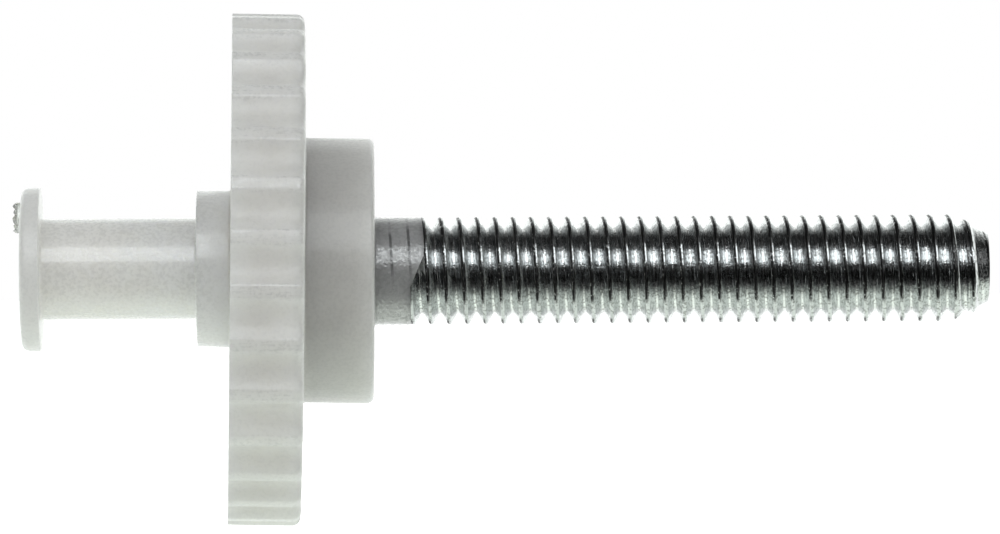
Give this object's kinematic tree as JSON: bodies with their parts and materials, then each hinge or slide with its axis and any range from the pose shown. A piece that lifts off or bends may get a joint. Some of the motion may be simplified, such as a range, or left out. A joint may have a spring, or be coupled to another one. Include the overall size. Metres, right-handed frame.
{
  "type": "thumbwheel adjusting screw",
  "caption": "Ribbed nylon thumbwheel with a boss and a grooved spool end, moulded over a hexagon screw whose metric thread is turned by hand to set a distance.",
  "frame": {"origin": "on the screw's axis in the plane of the boss's front face, where the thread leaves the nylon", "axes": "+X along the screw's axis towards the thread's tip, -X towards the spool and its end flange; a hollow of the ribbed rim faces within 2 degrees of -Y, and +Z is towards the gate mark"},
  "size_m": [0.0539, 0.0282, 0.0282],
  "materials": {
    "zinc_plated_steel": "bright clear zinc plating over a rolled thread",
    "natural_nylon": "uncoloured milky nylon as moulded, fine satin, translucent where it is thin"
  },
  "bodies": {
    "root": {"hex_screw": "zinc_plated_steel", "thumbwheel_moulding": "natural_nylon"}
  },
  "joints": []
}
